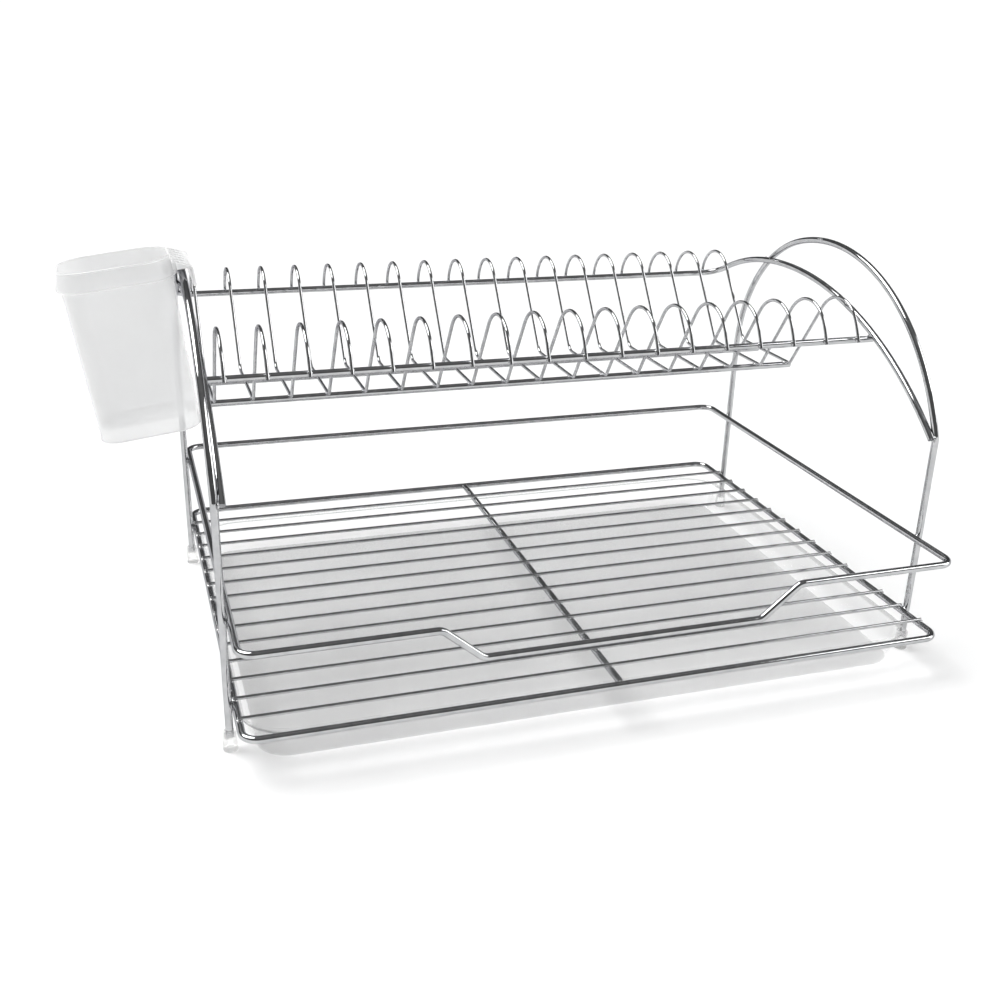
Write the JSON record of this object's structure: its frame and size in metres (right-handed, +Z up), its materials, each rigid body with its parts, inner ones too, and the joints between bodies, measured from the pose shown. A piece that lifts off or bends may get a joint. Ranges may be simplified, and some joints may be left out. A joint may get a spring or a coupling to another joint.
{
  "type": "dish drying rack",
  "caption": "Two-tier wire dish drying rack with plate dividers, arched side supports, a guard rail, a slide-out drip tray and a hook-on cutlery cup.",
  "frame": {"origin": "middle of the rack's overall box, on the surface that it stands on", "axes": "+X to the right along the rack's length, +Y from its front to its back, +Z up"},
  "size_m": [0.595, 0.3936, 0.2927],
  "materials": {
    "frame_wire": "bright chrome-plated round wire",
    "thin_wire": "bright chrome-plated thin wire",
    "clear_tray": "clear moulded plastic with a faint grey tint",
    "milky_cup": "milky translucent moulded plastic",
    "clear_feet": "soft clear plastic"
  },
  "bodies": {
    "frame": {"base_ring": "frame_wire", "base_centre_support": "frame_wire", "guard_rail": "frame_wire", "side_arch_left": "frame_wire", "side_arch_right": "frame_wire", "upper_frame": "frame_wire", "front_rail": "frame_wire", "base_wire_01": "thin_wire", "base_wire_02": "thin_wire", "base_wire_03": "thin_wire", "base_wire_04": "thin_wire", "base_wire_05": "thin_wire", "base_wire_06": "thin_wire", "base_wire_07": "thin_wire", "base_wire_08": "thin_wire", "base_wire_09": "thin_wire", "base_wire_10": "thin_wire", "base_wire_11": "thin_wire", "base_wire_12": "thin_wire", "base_wire_13": "thin_wire", "base_wire_14": "thin_wire", "front_bottom_rail": "frame_wire", "rear_bottom_rail": "frame_wire", "plate_divider_01": "thin_wire", "plate_divider_02": "thin_wire", "plate_divider_03": "thin_wire", "plate_divider_04": "thin_wire", "plate_divider_05": "thin_wire", "plate_divider_06": "thin_wire", "plate_divider_07": "thin_wire", "plate_divider_08": "thin_wire", "plate_divider_09": "thin_wire", "plate_divider_10": "thin_wire", "plate_divider_11": "thin_wire", "plate_divider_12": "thin_wire", "plate_divider_13": "thin_wire", "plate_divider_14": "thin_wire", "plate_divider_15": "thin_wire", "plate_divider_16": "thin_wire", "plate_divider_17": "thin_wire", "plate_divider_18": "thin_wire", "foot_front_left": "clear_feet", "foot_back_left": "clear_feet", "foot_front_right": "clear_feet", "foot_back_right": "clear_feet"},
    "tray": {"drip_tray": "clear_tray"},
    "cup": {"cutlery_cup": "milky_cup"}
  },
  "joints": [
    {"name": "tray_slide", "type": "slide", "parent": "frame", "child": "tray", "axis": [0, -1, 0], "range_m": [0, 0.35]},
    {"name": "cup_lift", "type": "slide", "parent": "frame", "child": "cup", "axis": [-0.1288, 0, 0.9917], "range_m": [0, 0.06]}
  ]
}
